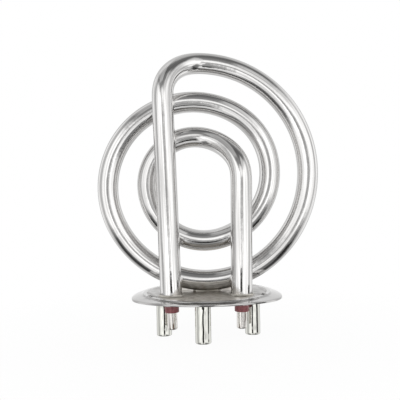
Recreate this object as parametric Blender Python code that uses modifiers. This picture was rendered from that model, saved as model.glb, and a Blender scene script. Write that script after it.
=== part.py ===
"""Immersed heating element of an electric kettle.

One stainless tube, filled with magnesia round a resistance coil, rises from the head plate as the
left leg, winds inwards through a flat spiral and comes back down as the right leg. The lowest point
of its outer turn is brazed to the plate, so that the control below it feels the tube run dry.

Lengths are metres. +Z is the axis of the head plate and points into the water. The spiral lies in
the plane Y = 0 and the legs stand in front of it, at negative Y. The origin is the centre of the
plate's dry face, where the control rests.
"""

import math

import bmesh
import bpy
from mathutils import Matrix, Vector

# Sheath tube and its bends
SHEATH_DIAMETER = 0.0066
SHEATH_WALL = 0.0005
SHEATH_TAIL = 0.0022          # length of tube below the dry face
LEG_PITCH = 0.0216            # between the two legs, where they pass the plate
LEG_MIDDLE = -0.0001          # sideways place of the middle between the legs
LEFT_LEG_LEAN = math.radians(1.5)
RIGHT_LEG_LEAN = math.radians(0.7)
SET_BACK = 0.0081             # from the legs back to the spiral
SET_BACK_RUN = 0.018          # length of tube over which it moves back
SPIRAL_BEND_RADII = (0.0350, 0.0315, 0.0272, 0.0218, 0.0181, 0.0152)  # from the top inwards
SPIRAL_BEND_DEGREES = (139, 107, 145, 138, 100, 150)
SPIRAL_TURNS = 2.25           # from the top of the spiral down to the right leg
RIGHT_SHOULDER_RADIUS = 0.0093
FACET_TURN = math.radians(12)  # the tube turns this much from one ring of its mesh to the next

# Filling, coil and ends
FILLING_CLEARANCE = 0.00009
SLEEVE_WALL = 0.00065
COIL_RADIUS = 0.00133         # to the middle of the wire
COIL_WIRE_RADIUS = 0.00017
COIL_TURNS = 56
POINTS_PER_COIL_TURN = 6
CORE_RADIUS = 0.00088
PIN_DIAMETER = 0.0031
PIN_BELOW_PLATE = 0.0098
PIN_ABOVE_PLATE = 0.024
PIN_END_ROUNDING = 0.0006
SPIGOT_RADIUS = 0.00085       # the pin's thin end, which the coil is wound on
SPIGOT_LENGTH = 0.0035
SEAL_DIAMETER = 0.0044
SEAL_PLUG_DIAMETER = 0.0049
SEAL_BELOW_PLATE = 0.0045
SEAL_PLUG_DEPTH = 0.003       # how far the seal reaches above the dry face
PIN_HOLE_CLEARANCE = 0.0001
END_GAP = 0.0002              # between pieces that follow each other inside the sheath

# Head plate
PLATE_THICKNESS = 0.0006
CENTRE_MARGIN = 0.0033        # flat of the raised centre outside the studs
CENTRE_RAISE = 0.0004         # of the raised centre above the rim
CENTRE_SLOPE = 0.0006         # width of the step between centre and rim
RIM_WIDTH = 0.0034
RIM_EDGE_ROUNDING = 0.00015
RIM_DROOP = 0.001             # how far the rim is bent down at its left and right ends
LEG_HOLE_CLEARANCE = 0.00015

# Studs
STUD_DIAMETER = 0.0048
STUD_LENGTH = 0.0127
STUD_CIRCLE_DIAMETER = 0.0284
STUD_CIRCLE_OFFSET = 0.00035  # of the studs' circle, to the right of the plate's centre
STUD_ANGLES = {"front": math.radians(263.5), "left": math.radians(191), "right": math.radians(349)}
STUD_CHAMFER = 0.0003
STUD_BORE_DIAMETER = 0.0025
STUD_BORE_DEPTH = 0.009
STUD_BORE_MOUTH = 0.00035
STUD_BORE_CONE = 0.0007

# Brazing
BRAZE_SEAT = 0.00005          # between a braze and what it joins
LEG_BRAZE_WIDTH = 0.0009
LEG_BRAZE_HEIGHT = 0.0009
STUD_BRAZE_WIDTH = 0.00045
STUD_BRAZE_HEIGHT = 0.0008
RETURN_GAP = 0.0001           # between the outer turn's lowest point and the plate
RETURN_BRAZE_LENGTH = 0.012
RETURN_BRAZE_WIDTH = 0.0042
RETURN_BRAZE_HEIGHT = 0.0009

# Mesh fineness
PLATE_STEPS = 48
ROUND_STEPS = 24
DENSE_STEP = math.radians(1)

PLATE_TOP = PLATE_THICKNESS
RIM_TOP = PLATE_TOP - CENTRE_RAISE
CENTRE_RADIUS = STUD_CIRCLE_DIAMETER / 2 + STUD_DIAMETER / 2 + CENTRE_MARGIN
RIM_INNER_RADIUS = CENTRE_RADIUS + CENTRE_SLOPE
PLATE_RADIUS = RIM_INNER_RADIUS + RIM_WIDTH
LEG_FEET = {
    "left": Vector((LEG_MIDDLE - LEG_PITCH / 2, -SET_BACK, 0)),
    "right": Vector((LEG_MIDDLE + LEG_PITCH / 2, -SET_BACK, 0)),
}
LEG_DIRECTIONS = {
    "left": Vector((-math.sin(LEFT_LEG_LEAN), 0, math.cos(LEFT_LEG_LEAN))),
    "right": Vector((math.sin(RIGHT_LEG_LEAN), 0, math.cos(RIGHT_LEG_LEAN))),
}

for old in list(bpy.data.objects):
    bpy.data.objects.remove(old)

parts = bpy.data.collections.new("kettle_heating_element")
cutters = bpy.data.collections.new("cutters")
for collection in (parts, cutters):
    bpy.context.scene.collection.children.link(collection)


def material(name, colour, metallic, roughness):
    """Return a Principled material of one colour (linear RGB)."""
    made = bpy.data.materials.new(name)
    made.use_nodes = True
    shader = made.node_tree.nodes["Principled BSDF"]
    shader.inputs["Base Color"].default_value = (*colour, 1)
    shader.inputs["Metallic"].default_value = metallic
    shader.inputs["Roughness"].default_value = roughness
    return made


STEEL = material("polished stainless steel", (0.62, 0.61, 0.59), 1.0, 0.18)
PLATE_STEEL = material("satin stainless steel", (0.52, 0.51, 0.48), 1.0, 0.35)
NICKEL = material("nickel plated steel", (0.66, 0.65, 0.58), 1.0, 0.15)
BRAZE = material("nickel braze", (0.55, 0.53, 0.48), 1.0, 0.4)
SILICONE = material("red silicone rubber", (0.09, 0.012, 0.016), 0.0, 0.5)
MAGNESIA = material("pressed magnesia", (0.75, 0.74, 0.70), 0.0, 0.9)
RESISTANCE_WIRE = material("resistance wire", (0.30, 0.29, 0.27), 1.0, 0.5)


def finish(obj, name, its_material, collection=parts):
    """Name an object and its mesh, give it its material and file it in its collection."""
    obj.name = name
    obj.data.name = name
    obj.data.materials.clear()
    obj.data.materials.append(its_material)
    for used in list(obj.users_collection):
        used.objects.unlink(obj)
    collection.objects.link(obj)
    return obj


def as_cutter(obj):
    """Mark an object as a cutter, which is not part of the element."""
    obj.hide_render = True
    obj.display_type = "WIRE"
    return obj


def evaluated_copy(obj):
    """Replace a curve or a modified object by a plain mesh object at the same place."""
    graph = bpy.context.evaluated_depsgraph_get()
    mesh = bpy.data.meshes.new_from_object(obj.evaluated_get(graph))
    copy = bpy.data.objects.new(obj.name, mesh)
    copy.matrix_world = obj.matrix_world.copy()
    parts.objects.link(copy)
    bpy.data.objects.remove(obj)
    return copy


def cut(obj, cutter):
    """Cut one object by another with a Boolean modifier."""
    modifier = obj.modifiers.new(f"cut by {cutter.name}", "BOOLEAN")
    modifier.operation = "DIFFERENCE"
    modifier.object = cutter


def turned(name, profile, its_material, steps=ROUND_STEPS, closed=False):
    """Turn a profile of (radius, height) points, which runs down its outer side, about Z."""
    mesh = bpy.data.meshes.new(name)
    edges = [(i, i + 1) for i in range(len(profile) - 1)]
    if closed:
        edges.append((len(profile) - 1, 0))
    mesh.from_pydata([(radius, 0, height) for radius, height in profile], edges, [])
    obj = bpy.data.objects.new(name, mesh)
    screw = obj.modifiers.new("turn", "SCREW")
    screw.steps = screw.render_steps = steps
    screw.use_merge_vertices = True
    screw.merge_threshold = 0.00001
    parts.objects.link(obj)
    return finish(obj, name, its_material)


def swept(name, points, radius, sides, capped=True):
    """Sweep a round section along a run of points and return it as a mesh object."""
    curve = bpy.data.curves.new(name, "CURVE")
    curve.dimensions = "3D"
    curve.bevel_depth = radius
    curve.bevel_resolution = sides // 2 - 2
    curve.use_fill_caps = capped
    spline = curve.splines.new("POLY")
    spline.points.add(len(points) - 1)
    for control, point in zip(spline.points, points):
        control.co = (*point, 1)
    obj = bpy.data.objects.new(name, curve)
    parts.objects.link(obj)
    obj = evaluated_copy(obj)
    welded = bmesh.new()
    welded.from_mesh(obj.data)
    bmesh.ops.remove_doubles(welded, verts=welded.verts, dist=0.000001)
    welded.to_mesh(obj.data)
    welded.free()
    return obj


def give_wall(obj, thickness):
    """Give an open tube a wall that grows inwards."""
    wall = obj.modifiers.new("wall", "SOLIDIFY")
    wall.thickness = thickness
    wall.offset = -1
    wall.use_even_offset = True


def shade_round(obj):
    """Shade a round mesh smooth, apart from its edges."""
    obj.data.shade_smooth()
    obj.data.set_sharp_from_angle(angle=math.radians(40))


def arc_to_the_right(start, heading, radius, angle):
    """Return points along an arc that turns right from a heading, and the heading at its end."""
    centre = start + radius * Vector((math.sin(heading), -math.cos(heading)))
    steps = max(2, math.ceil(angle / DENSE_STEP))
    points = []
    for step in range(1, steps + 1):
        turned_by = heading + math.pi / 2 - angle * step / steps
        points.append(centre + radius * Vector((math.cos(turned_by), math.sin(turned_by))))
    return points, heading - angle


def flat_spiral():
    """Return the spiral from its top to the start of the right leg, as points (x, z)."""
    heading = 0.0
    points = [Vector((0, 0))]
    bends = [(radius, math.radians(angle))
             for radius, angle in zip(SPIRAL_BEND_RADII, SPIRAL_BEND_DEGREES)]
    turned_so_far = sum(angle for _, angle in bends)
    bends.append((RIGHT_SHOULDER_RADIUS, math.tau * SPIRAL_TURNS + RIGHT_LEG_LEAN - turned_so_far))
    for radius, angle in bends:
        more, heading = arc_to_the_right(points[-1], heading, radius, angle)
        points.extend(more)
    return points


def tube_line():
    """Return the centre line of the whole sheath, from the left end to the right end."""
    spiral = flat_spiral()
    lowest = min(point.y for point in spiral)
    resting_height = PLATE_TOP + RETURN_GAP + SHEATH_DIAMETER / 2
    spiral = [point + Vector((0, resting_height - lowest)) for point in spiral]
    right_leg_foot_x = spiral[-1].x - spiral[-1].y * math.tan(RIGHT_LEG_LEAN)
    sideways = LEG_FEET["right"].x - right_leg_foot_x
    spiral = [point + Vector((sideways, 0)) for point in spiral]

    # The left shoulder is the one bend that joins the leaning left leg to the top of the spiral.
    top = spiral[0]
    lean = LEFT_LEG_LEAN
    reach = top.x + top.y * math.tan(lean) - LEG_FEET["left"].x
    shoulder_radius = reach / (math.cos(lean) + math.tan(lean) * (1 + math.sin(lean)))
    shoulder_start = top + shoulder_radius * Vector((-math.cos(lean), -1 - math.sin(lean)))
    shoulder, _ = arc_to_the_right(
        shoulder_start, math.pi / 2 + lean, shoulder_radius, math.pi / 2 + lean)
    bent = [shoulder_start] + shoulder + spiral[1:]

    lengths = running_lengths(bent)
    line = []
    for point, length in zip(bent, lengths):
        nearest_leg = min(length, lengths[-1] - length)
        line.append(Vector((point.x, -SET_BACK * (1 - smooth_step(nearest_leg / SET_BACK_RUN)), point.y)))
    left_end = LEG_FEET["left"] - LEG_DIRECTIONS["left"] * SHEATH_TAIL
    right_end = LEG_FEET["right"] - LEG_DIRECTIONS["right"] * SHEATH_TAIL
    return [left_end] + line + [right_end]


def smooth_step(value):
    """Rise smoothly from 0 to 1 as the value goes from 0 to 1."""
    value = min(max(value, 0), 1)
    return value * value * (3 - 2 * value)


def running_lengths(points):
    """Return the length of the line up to each of its points."""
    lengths = [0.0]
    for a, b in zip(points, points[1:]):
        lengths.append(lengths[-1] + (b - a).length)
    return lengths


def faceted(points):
    """Keep both straight legs of a line and only as many points of its bends as they need."""
    kept = points[:2]
    direction = (points[2] - points[1]).normalized()
    for here, after in zip(points[2:-2], points[3:-1]):
        next_direction = (after - here).normalized()
        if direction.angle(next_direction) >= FACET_TURN:
            kept.append(here)
            direction = next_direction
    return kept + points[-2:]


def part_of_line(points, start, end):
    """Return the part of a line between two lengths along it."""
    lengths = running_lengths(points)
    kept = [point_at(points, lengths, start)]
    kept += [point for point, length in zip(points, lengths) if start < length < end]
    kept.append(point_at(points, lengths, end))
    return kept


def point_at(points, lengths, length):
    """Return the point at a length along a line."""
    for i in range(1, len(points)):
        if lengths[i] >= length:
            share = (length - lengths[i - 1]) / (lengths[i] - lengths[i - 1])
            return points[i - 1].lerp(points[i], share)
    return points[-1].copy()


def place_on_leg(obj, side):
    """Put a piece that was turned about Z on the axis of a leg, where it passes the dry face."""
    obj.rotation_mode = "QUATERNION"
    obj.rotation_quaternion = LEG_DIRECTIONS[side].to_track_quat("Z", "Y")
    obj.location = LEG_FEET[side]


SMOOTH_LINE = tube_line()
LINE = faceted(SMOOTH_LINE)
LINE_LENGTHS = running_lengths(LINE)
LINE_LENGTH = LINE_LENGTHS[-1]
FROM_END_TO_PLATE = SHEATH_TAIL


def make_sheath():
    """The bent tube: one length of stainless tube with open ends."""
    obj = swept("sheath_tube", LINE, SHEATH_DIAMETER / 2, 12, capped=False)
    give_wall(obj, SHEATH_WALL)
    shade_round(obj)
    finish(obj, "sheath_tube", STEEL)


def filling_ends():
    """Return where the magnesia starts and ends along the line, next to the two seals."""
    start = FROM_END_TO_PLATE + SEAL_PLUG_DEPTH + END_GAP
    return start, LINE_LENGTH - start


def make_magnesia():
    """The pressed powder: a sleeve between coil and sheath, and a core inside the coil."""
    start, end = filling_ends()
    bore_radius = SHEATH_DIAMETER / 2 * math.cos(math.pi / 12) - SHEATH_WALL
    sleeve = swept("magnesia_sleeve", part_of_line(LINE, start, end),
                   bore_radius - FILLING_CLEARANCE, 8, capped=False)
    give_wall(sleeve, SLEEVE_WALL)
    shade_round(sleeve)
    finish(sleeve, "magnesia_sleeve", MAGNESIA)
    core_start = FROM_END_TO_PLATE + PIN_ABOVE_PLATE + SPIGOT_LENGTH + END_GAP
    core_line = part_of_line(LINE, core_start, LINE_LENGTH - core_start)
    core = swept("magnesia_core", core_line, CORE_RADIUS, 6)
    shade_round(core)
    finish(core, "magnesia_core", MAGNESIA)


def make_coil():
    """The resistance wire: an open helix wound along the line, from one spigot to the other."""
    start = FROM_END_TO_PLATE + PIN_ABOVE_PLATE + COIL_WIRE_RADIUS * 2 + END_GAP
    end = LINE_LENGTH - start
    count = COIL_TURNS * POINTS_PER_COIL_TURN
    spacing = (end - start) / count
    centres = [point_at(LINE, LINE_LENGTHS, start + spacing * i) for i in range(count + 1)]
    wire = []
    for i, centre in enumerate(centres):
        along = centres[min(i + 1, count)] - centres[max(i - 1, 0)]
        outwards = along.cross(Vector((0, 1, 0))).normalized()
        sideways = outwards.cross(along).normalized()
        turn = math.tau * i / POINTS_PER_COIL_TURN
        wire.append(centre + COIL_RADIUS * (outwards * math.cos(turn) + sideways * math.sin(turn)))
    obj = swept("resistance_coil", wire, COIL_WIRE_RADIUS, 4)
    shade_round(obj)
    finish(obj, "resistance_coil", RESISTANCE_WIRE)


def make_cold_pin(side):
    """A turned pin: its thin end holds the coil and its round end is the terminal."""
    radius = PIN_DIAMETER / 2
    shoulder = PIN_ABOVE_PLATE
    end = -PIN_BELOW_PLATE
    profile = [(0, shoulder + SPIGOT_LENGTH), (SPIGOT_RADIUS, shoulder + SPIGOT_LENGTH),
               (SPIGOT_RADIUS, shoulder), (radius, shoulder)]
    for step in range(4):
        angle = math.pi / 2 * step / 3
        profile.append((radius - PIN_END_ROUNDING * (1 - math.cos(angle)),
                        end + PIN_END_ROUNDING * (1 - math.sin(angle))))
    profile.append((0, end))
    place_on_leg(turned(f"cold_pin_{side}", profile, NICKEL, steps=16), side)


def make_end_seal(side):
    """The silicone plug that closes a tube end round its pin."""
    hole = PIN_DIAMETER / 2 + PIN_HOLE_CLEARANCE
    plug = SEAL_PLUG_DIAMETER / 2
    outside = SEAL_DIAMETER / 2
    bottom = -SEAL_BELOW_PLATE
    soft_edge = 0.0002
    profile = [(hole, SEAL_PLUG_DEPTH), (plug, SEAL_PLUG_DEPTH), (plug, -SHEATH_TAIL),
               (outside, -SHEATH_TAIL - soft_edge), (outside, bottom + soft_edge),
               (outside - soft_edge, bottom), (hole, bottom)]
    place_on_leg(turned(f"end_seal_{side}", profile, SILICONE, steps=16, closed=True), side)


def make_head_plate():
    """The pressed disc: a flat rim round a slightly raised centre, with two holes for the legs."""
    edge = PLATE_RADIUS
    rim_middle = (edge + RIM_INNER_RADIUS) / 2
    rim_bottom = RIM_TOP - PLATE_THICKNESS
    soft = RIM_EDGE_ROUNDING
    profile = [(0, PLATE_TOP), (CENTRE_RADIUS, PLATE_TOP), (RIM_INNER_RADIUS, RIM_TOP),
               (rim_middle, RIM_TOP), (edge - soft, RIM_TOP), (edge, RIM_TOP - soft),
               (edge, rim_bottom + soft), (edge - soft, rim_bottom), (rim_middle, rim_bottom),
               (RIM_INNER_RADIUS, rim_bottom), (CENTRE_RADIUS, 0), (0, 0)]
    plate = evaluated_copy(turned("head_plate", profile, PLATE_STEEL, steps=PLATE_STEPS))
    for vertex in plate.data.vertices:
        across = math.hypot(vertex.co.x, vertex.co.y)
        rim_share = min(max((across - RIM_INNER_RADIUS) / RIM_WIDTH, 0), 1)
        vertex.co.z -= RIM_DROOP * rim_share * abs(vertex.co.x / edge) ** 3
    for side, foot in LEG_FEET.items():
        bpy.ops.mesh.primitive_cylinder_add(
            vertices=ROUND_STEPS, radius=SHEATH_DIAMETER / 2 + LEG_HOLE_CLEARANCE,
            depth=PLATE_THICKNESS * 4, location=foot)
        hole = as_cutter(finish(bpy.context.object, f"{side}_leg_hole", PLATE_STEEL, cutters))
        cut(plate, hole)
    shade_round(plate)
    finish(plate, "head_plate", PLATE_STEEL)


def stud_place(which):
    """Return the point of the dry face that a stud stands on."""
    angle = STUD_ANGLES[which]
    around = Vector((math.cos(angle), math.sin(angle), 0))
    return Vector((STUD_CIRCLE_OFFSET, 0, 0)) + STUD_CIRCLE_DIAMETER / 2 * around


def make_stud(which):
    """A turned pillar with a blind tapping bore in its free end."""
    radius = STUD_DIAMETER / 2
    bore = STUD_BORE_DIAMETER / 2
    end = -STUD_LENGTH
    profile = [(0, -BRAZE_SEAT), (radius, -BRAZE_SEAT), (radius, end + STUD_CHAMFER),
               (radius - STUD_CHAMFER, end), (bore + STUD_BORE_MOUTH, end),
               (bore, end + STUD_BORE_MOUTH), (bore, end + STUD_BORE_DEPTH),
               (0, end + STUD_BORE_DEPTH + STUD_BORE_CONE)]
    turned(f"stud_{which}", profile, NICKEL).location = stud_place(which)


def fillet_ring(name, inner_radius, width, height, seat, up):
    """Make a hollow fillet of braze round a post: up is 1 above its seat and -1 below it."""
    inner = inner_radius + BRAZE_SEAT
    foot = seat + up * BRAZE_SEAT
    hollow = [(inner + width * (1 - math.sin(a)), foot + up * height * (1 - math.cos(a)))
              for a in (0, math.radians(30), math.radians(60), math.pi / 2)]
    profile = [(inner, foot)] + hollow
    if up > 0:
        profile.reverse()
    return turned(name, profile, BRAZE, closed=True)


def make_leg_braze(side):
    """The fillet round a leg on the water side of the plate."""
    ring = fillet_ring(f"leg_braze_{side}", SHEATH_DIAMETER / 2 + BRAZE_SEAT, LEG_BRAZE_WIDTH,
                       LEG_BRAZE_HEIGHT, PLATE_TOP, 1)
    ring.location = LEG_FEET[side]


def make_stud_braze(which):
    """The fillet round the top of a stud on the dry side of the plate."""
    ring = fillet_ring(f"stud_braze_{which}", STUD_DIAMETER / 2, STUD_BRAZE_WIDTH,
                       STUD_BRAZE_HEIGHT, 0, -1)
    ring.location = stud_place(which)


def make_return_braze():
    """The pad of braze under the outer turn, hollowed to the tube that it holds."""
    behind_legs = [point for point in SMOOTH_LINE if point.y > -SET_BACK / 2]
    lowest = min(behind_legs, key=lambda point: point.z)
    height = RETURN_BRAZE_HEIGHT
    place = Vector((lowest.x, 0, PLATE_TOP + BRAZE_SEAT + height / 2))
    pad = bmesh.new()
    size = Matrix.Diagonal((RETURN_BRAZE_LENGTH, RETURN_BRAZE_WIDTH, height, 1))
    bmesh.ops.create_cube(pad, size=1, matrix=Matrix.Translation(place) @ size)
    upright = [edge for edge in pad.edges
               if abs(edge.verts[0].co.z - edge.verts[1].co.z) > height / 2]
    bmesh.ops.bevel(pad, geom=upright, offset=RETURN_BRAZE_WIDTH * 0.4, segments=3,
                    profile=0.5, affect="EDGES")
    mesh = bpy.data.meshes.new("return_braze")
    pad.to_mesh(mesh)
    pad.free()
    obj = bpy.data.objects.new("return_braze", mesh)
    parts.objects.link(obj)
    finish(obj, "return_braze", BRAZE)
    nearest = min(range(len(LINE)), key=lambda i: (LINE[i] - lowest).length)
    middle = LINE_LENGTHS[nearest]
    line = part_of_line(LINE, middle - RETURN_BRAZE_LENGTH, middle + RETURN_BRAZE_LENGTH)
    groove_radius = (SHEATH_DIAMETER / 2 + BRAZE_SEAT) / math.cos(math.pi / ROUND_STEPS)
    groove = swept("return_groove", line, groove_radius, ROUND_STEPS)
    cut(obj, as_cutter(finish(groove, "return_groove", BRAZE, cutters)))


make_sheath()
make_magnesia()
make_coil()
make_head_plate()
for leg in LEG_FEET:
    make_cold_pin(leg)
    make_end_seal(leg)
    make_leg_braze(leg)
for stud in STUD_ANGLES:
    make_stud(stud)
    make_stud_braze(stud)
make_return_braze()
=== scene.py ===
# %% [markdown]
# # A kettle's heating element
#
# The real object is one stainless tube, filled with white powder round a hot wire, that is bent into
# two legs and a flat spiral and brazed to a round head plate. Almost all that the eye sees is bright
# metal, so this lesson is mostly about two things: smooth round forms, and something for them to
# mirror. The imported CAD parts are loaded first, because every piece made here stands where they do.

import math

import bmesh
import bpy
from mathutils import Matrix, Vector, noise


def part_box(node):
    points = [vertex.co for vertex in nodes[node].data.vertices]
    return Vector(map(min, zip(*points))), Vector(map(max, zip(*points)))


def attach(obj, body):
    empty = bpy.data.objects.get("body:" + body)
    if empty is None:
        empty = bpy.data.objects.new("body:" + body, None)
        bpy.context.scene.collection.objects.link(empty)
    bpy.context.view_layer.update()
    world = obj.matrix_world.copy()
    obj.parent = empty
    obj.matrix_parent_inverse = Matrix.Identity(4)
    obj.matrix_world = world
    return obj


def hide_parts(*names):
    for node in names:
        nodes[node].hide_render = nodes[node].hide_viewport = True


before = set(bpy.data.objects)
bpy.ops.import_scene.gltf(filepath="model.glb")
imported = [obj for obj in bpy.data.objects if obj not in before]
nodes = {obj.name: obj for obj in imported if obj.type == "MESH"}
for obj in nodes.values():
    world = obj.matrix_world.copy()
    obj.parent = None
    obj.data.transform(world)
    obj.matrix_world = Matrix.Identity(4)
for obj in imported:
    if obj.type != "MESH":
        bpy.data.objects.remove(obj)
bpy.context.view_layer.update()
bpy.ops.object.select_all(action="DESELECT")
MM = 0.001

# %% [markdown]
# ## The camera
#
# The photograph was taken from straight in front, a little above the head plate and tilted down by
# less than a degree, and the element leans a degree to the left in it. A camera lies about its own
# axes: first it is tipped up from looking at the floor, then rolled about the line it looks along.
# A small sideways shift puts the plate's centre where it is in the photograph's frame.

# %% Place the camera
PICTURE = 400                             # pixels across the photograph
FOCAL_LENGTH, SIDE_SHIFT = 626.9, -5.19   # in those pixels
TILT_DOWN, ROLL = 0.843, -1.009           # degrees
SENSOR = 36                               # mm
bpy.ops.object.camera_add(location=(0, -200 * MM, 32.6 * MM))
camera = bpy.context.object
tip_up = Matrix.Rotation(math.radians(90 - TILT_DOWN), 4, "X")
roll = Matrix.Rotation(math.radians(ROLL), 4, "Z")
camera.matrix_world = Matrix.Translation(camera.location) @ tip_up @ roll
camera.data.sensor_width = SENSOR
camera.data.lens = FOCAL_LENGTH / PICTURE * SENSOR
camera.data.shift_x = SIDE_SHIFT / PICTURE
bpy.context.scene.camera = camera
print("camera lens", round(camera.data.lens, 2), "mm")

# %% [markdown]
# ## Helpers for materials
#
# Colours are written as the hex values a paint program shows. Blender's shaders want linear light,
# so one function converts them. Another adds a node, sets it and links it, in one line. The others
# are what every finish below needs: a new material, a curve of grey levels and a mix of two colours.

# %% Helpers for materials
def colour(hex_value):
    """Turn an sRGB hex colour into linear light, with alpha."""
    parts = [int(hex_value[i:i + 2], 16) / 255 for i in (1, 3, 5)]
    linear = [c / 12.92 if c <= 0.04045 else ((c + 0.055) / 1.055) ** 2.4 for c in parts]
    return (*linear, 1)


def node(tree, kind, settings=None, links=None):
    """Add a node. Settings name its properties or input sockets, links say what feeds a socket."""
    made = tree.nodes.new(kind)
    for key, value in (settings or {}).items():
        if hasattr(made, key):
            setattr(made, key, value)
        else:
            made.inputs[key].default_value = value
    for key, output in (links or {}).items():
        tree.links.new(output, made.inputs[key])
    return made


def new_material(name, base, metallic, roughness):
    """Start a material from its Principled shader, which is returned with the node tree."""
    made = bpy.data.materials.new(name)
    made.use_nodes = True
    shader = made.node_tree.nodes["Principled BSDF"]
    shader.inputs["Base Color"].default_value = colour(base)
    shader.inputs["Metallic"].default_value = metallic
    shader.inputs["Roughness"].default_value = roughness
    return made, made.node_tree, shader


def ramp(tree, feeds, stops):
    """Turn a value from 0 to 1 into a grey level through a few stops (place, level up to 1)."""
    made = node(tree, "ShaderNodeValToRGB", {}, {"Fac": feeds})
    elements = made.color_ramp.elements
    made.color_ramp.interpolation = "EASE"
    while len(elements) < len(stops):
        elements.new(0.5)
    for element, (place, level) in zip(elements, stops):
        element.position = place
        element.color = (level, level, level, 1)
    return made.outputs["Color"]


def mix(tree, share, first, second):
    """Mix two colours by a share from 0 to 1. Each is a hex value or comes from a node."""
    made = node(tree, "ShaderNodeMix", {"data_type": "RGBA"}, {"Factor": share})
    for socket, source in (("A", first), ("B", second)):
        if isinstance(source, str):
            made.inputs[socket].default_value = colour(source)
        else:
            tree.links.new(source, made.inputs[socket])
    return made.outputs["Result"]


print("white is", colour("#ffffff")[:3])

# %% [markdown]
# ## Helpers for modelling
#
# Modelling by hand is a rhythm: add a primitive, go into edit mode, pick some faces or edges, and run
# an operator on them. Picking is done here by asking a question of each face or edge. A finished
# piece keeps its place in its mesh, so that its object sits at the origin as the CAD parts' do.

# %% Helpers for modelling
def begin(piece, name):
    """Name a new primitive, put its place into its mesh and open it in edit mode."""
    piece.name = piece.data.name = name
    bpy.ops.object.transform_apply(location=True, rotation=True, scale=True)
    bpy.ops.object.mode_set(mode="EDIT")
    return piece


def pick(piece, kind, question):
    """Select the vertices, edges or faces of a piece in edit mode that a question is true for."""
    bpy.ops.mesh.select_all(action="DESELECT")
    bpy.ops.mesh.select_mode(type=kind)
    mesh = bmesh.from_edit_mesh(piece.data)
    items = {"VERT": mesh.verts, "EDGE": mesh.edges, "FACE": mesh.faces}[kind]
    chosen = [item for item in items if question(item)]
    for item in chosen:
        item.select_set(True)
    mesh.select_flush_mode()
    bmesh.update_edit_mesh(piece.data)
    return len(chosen)


def height(item):
    """Give the height of a face, or of an edge that lies level, and nothing for a tilted edge."""
    if isinstance(item, bmesh.types.BMEdge):
        low, high = sorted(corner.co.z for corner in item.verts)
        return high if high - low < 0.001 * MM else None
    return item.calc_center_median().z


def end(piece, smooth_angle=35):
    """Leave edit mode, shade the piece smooth apart from its sharp edges, and let go of it."""
    bpy.ops.mesh.select_all(action="SELECT")
    bpy.ops.mesh.remove_doubles(threshold=0.0005 * MM)
    bpy.ops.mesh.normals_make_consistent(inside=False)
    bpy.ops.object.mode_set(mode="OBJECT")
    bpy.ops.object.shade_smooth_by_angle(angle=math.radians(smooth_angle))
    bpy.ops.object.select_all(action="DESELECT")
    print(piece.name, "has", len(piece.data.vertices), "points")


def stands_for(piece, its_material, slot, *cad_nodes):
    """Dress a finished piece and let it stand for CAD nodes."""
    piece.data.materials.clear()
    piece.data.materials.append(its_material)
    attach(piece, "root")
    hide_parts(*cad_nodes)


def displace(piece, amount, size, chosen=lambda point: 1):
    """Move the points of a piece in or out a little, as hand work or molten metal leaves them."""
    normals = [Vector(v.normal) for v in piece.data.vertices]
    for vertex, normal in zip(piece.data.vertices, normals):
        wave = noise.noise(vertex.co / size) * chosen(vertex.co)
        vertex.co += normal * wave * amount


print("helpers are ready")

# %% [markdown]
# ## The line of the tube
#
# The tube is bent cold, one bend after the other, by turning it round rollers. Spin does the same in
# edit mode: it turns what is selected about a centre and leaves a trail. So the middle line of the
# tube starts as one point at the top of the spiral and is spun through six bends inwards, each with
# its own radius, and a last tight one into the right leg. The left shoulder is spun the other way.

# %% Bend sizes
TUBE_RADIUS = 3.3 * MM
LEG_LEFT, LEG_RIGHT = -10.9 * MM, 10.7 * MM      # where the legs' middles pass the dry face
LEAN_LEFT, LEAN_RIGHT = math.radians(1.5), math.radians(0.7)
SET_BACK, SET_BACK_RUN = 8.1 * MM, 18 * MM
TAIL = 2.2 * MM
PLATE_TOP, RETURN_GAP = 0.6 * MM, 0.1 * MM
BENDS = [(35.0, 139), (31.5, 107), (27.2, 145), (21.8, 138), (18.1, 100), (15.2, 150)]
SHOULDER_RADIUS = 9.3 * MM
last_bend = 810 + math.degrees(LEAN_RIGHT) - sum(degrees for _, degrees in BENDS)
bends = [(radius * MM, math.radians(degrees)) for radius, degrees in BENDS]
bends.append((SHOULDER_RADIUS, math.radians(last_bend)))
print("the last bend turns", round(last_bend, 1), "degrees")


# %% Spin the line of the tube
def spin_bend(place, heading, radius, angle):
    """Turn right through a bend in the XZ plane, and return the end's place and heading."""
    centre = place + radius * Vector((math.sin(heading), 0, -math.cos(heading)))
    bpy.ops.mesh.spin(steps=max(4, round(math.degrees(angle) / 2.5)), angle=-angle,
                      center=centre, axis=(0, 1, 0))
    heading -= angle
    return centre - radius * Vector((math.sin(heading), 0, -math.cos(heading))), heading


bpy.ops.mesh.primitive_plane_add(size=MM)
tube = begin(bpy.context.object, "bent_tube")
bpy.ops.mesh.merge(type="CENTER")
place, heading = Vector((0, 0, 0)), 0.0
for radius, angle in bends:
    place, heading = spin_bend(place, heading, radius, angle)
print("the right leg starts at", place / MM)

# %% [markdown]
# Now the trail is moved to its real place. Its lowest point rests a hair above the plate, where it
# is brazed, and its last point stands straight above the right leg's foot. The left shoulder is one
# bend whose radius follows from the two things it joins, and each leg is one extruded edge.

# %% Put the line in its place and add the legs
def ends_of(piece, last):
    """Select one end of the open line and return its place."""
    mesh = bmesh.from_edit_mesh(piece.data)
    loose = sorted((v for v in mesh.verts if len(v.link_edges) == 1), key=lambda v: v.co.x)
    pick(piece, "VERT", lambda v: v == loose[-1 if last else 0])
    return Vector(loose[-1 if last else 0].co)


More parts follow.
